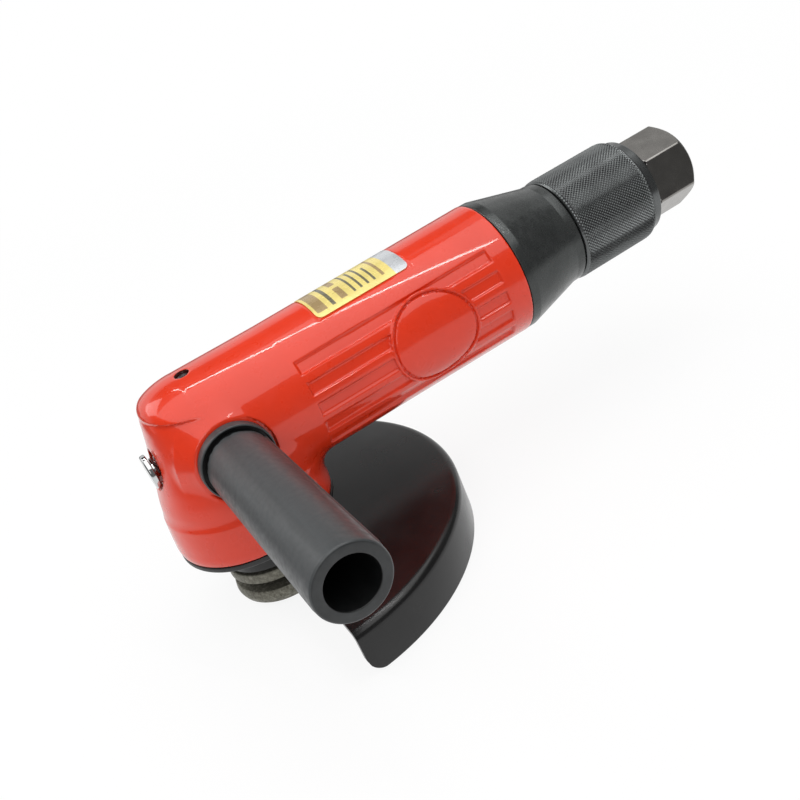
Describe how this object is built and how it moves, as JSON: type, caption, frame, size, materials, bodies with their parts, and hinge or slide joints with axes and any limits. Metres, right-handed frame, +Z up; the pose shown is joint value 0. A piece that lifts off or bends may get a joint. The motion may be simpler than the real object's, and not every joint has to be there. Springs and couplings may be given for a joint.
{
  "type": "pneumatic angle grinder",
  "caption": "Air-driven right-angle grinder with a round barrel, knurled throttle ring, side handle, half-round guard and clamping flanges.",
  "frame": {"origin": "centre of the spindle's flat lower end", "axes": "+Z up along the spindle, from its threaded end into the head; +X along the motor axis towards the air inlet; the side handle points to -Y"},
  "size_m": [0.2371, 0.1848, 0.0921],
  "materials": {
    "red_enamel": "smooth red enamel over a fine casting",
    "black_finish": "satin black finish on turned metal",
    "black_gloss": "black gloss coat on pressed sheet",
    "grey_plastic": "dark grey moulded plastic",
    "chrome": "bright plated",
    "dark_steel": "dark grey-brown steel",
    "grey_steel": "rough grey steel, lightly oxidised",
    "bright_steel": "ground steel",
    "cast_iron": "fine-grained iron",
    "brass": "turned brass",
    "rubber": "black seal rubber",
    "vane_resin": "brown laminated resin",
    "felt": "pressed felt",
    "label_foil": "glossy yellow foil with plain bars and blocks"
  },
  "bodies": {
    "frame": {"housing": "red_enamel", "label_plate": "label_foil", "grease_plug": "bright_steel", "upper_bearing_outer_race": "bright_steel", "lower_bearing_outer_race": "bright_steel", "bearing_retainer": "black_finish", "spindle_seal": "rubber", "cover_screw_1": "dark_steel", "cover_screw_2": "dark_steel", "cover_screw_3": "dark_steel", "cover_screw_4": "dark_steel", "handle_collar": "grey_plastic", "handle_grip": "grey_plastic", "handle_stud": "bright_steel", "boss_plug": "dark_steel", "lock_spring": "bright_steel", "front_end_plate": "cast_iron", "rear_end_plate": "cast_iron", "front_bearing_outer_race": "bright_steel", "rear_bearing_outer_race": "bright_steel", "motor_cylinder": "cast_iron", "locating_dowel": "bright_steel", "valve_body": "black_finish", "ring_seal": "rubber", "valve_spring": "bright_steel", "inlet_adapter": "dark_steel", "inlet_strainer": "brass", "exhaust_cover": "black_finish", "muffler_felt": "felt"},
    "spindle": {"spindle": "bright_steel", "spindle_key": "dark_steel", "bevel_gear": "cast_iron", "upper_bearing_inner_race": "bright_steel", "lower_bearing_inner_race": "bright_steel", "inner_flange": "grey_steel", "outer_flange_nut": "grey_steel"},
    "rotor": {"rotor": "dark_steel", "bevel_pinion": "cast_iron", "front_bearing_inner_race": "bright_steel", "rear_bearing_inner_race": "bright_steel", "vane_1": "vane_resin", "vane_2": "vane_resin", "vane_3": "vane_resin", "vane_4": "vane_resin", "vane_5": "vane_resin"},
    "throttle": {"throttle_ring": "black_finish"},
    "valve": {"valve_guide": "brass", "drive_pin": "bright_steel", "valve_head": "brass"},
    "guard": {"guard": "black_gloss", "clamp_screw": "dark_steel", "clamp_nut": "grey_steel"},
    "lock": {"lock_button": "chrome", "lock_pin": "bright_steel"}
  },
  "joints": [
    {"name": "spindle_spin", "type": "hinge", "parent": "frame", "child": "spindle", "pos_m": [0, 0, 0.02], "axis": [0, 0, 1], "continuous": true},
    {"name": "rotor_spin", "type": "hinge", "parent": "frame", "child": "rotor", "pos_m": [0.06, 0, 0.065], "axis": [1, 0, 0], "continuous": true},
    {"name": "throttle_twist", "type": "hinge", "parent": "frame", "child": "throttle", "pos_m": [0.165, 0, 0.065], "axis": [1, 0, 0], "range_deg": [0, 50]},
    {"name": "valve_lift", "type": "slide", "parent": "throttle", "child": "valve", "axis": [1, 0, 0], "range_m": [0, 0.004], "deforming": ["valve_spring"]},
    {"name": "guard_swivel", "type": "hinge", "parent": "frame", "child": "guard", "pos_m": [0, 0, 0.02], "axis": [0, 0, 1], "range_deg": [-90, 90]},
    {"name": "lock_press", "type": "slide", "parent": "frame", "child": "lock", "axis": [1, 0, 0], "range_m": [0, 0.003], "stiffness_N_per_m": 1000, "springref_m": -0.003, "deforming": ["lock_spring"]}
  ],
  "couplings": [
    {"joint": "rotor_spin", "follows": "spindle_spin", "ratio": 2.0769},
    {"joint": "valve_lift", "follows": "throttle_twist", "m_per_rad": 0.0045836}
  ]
}
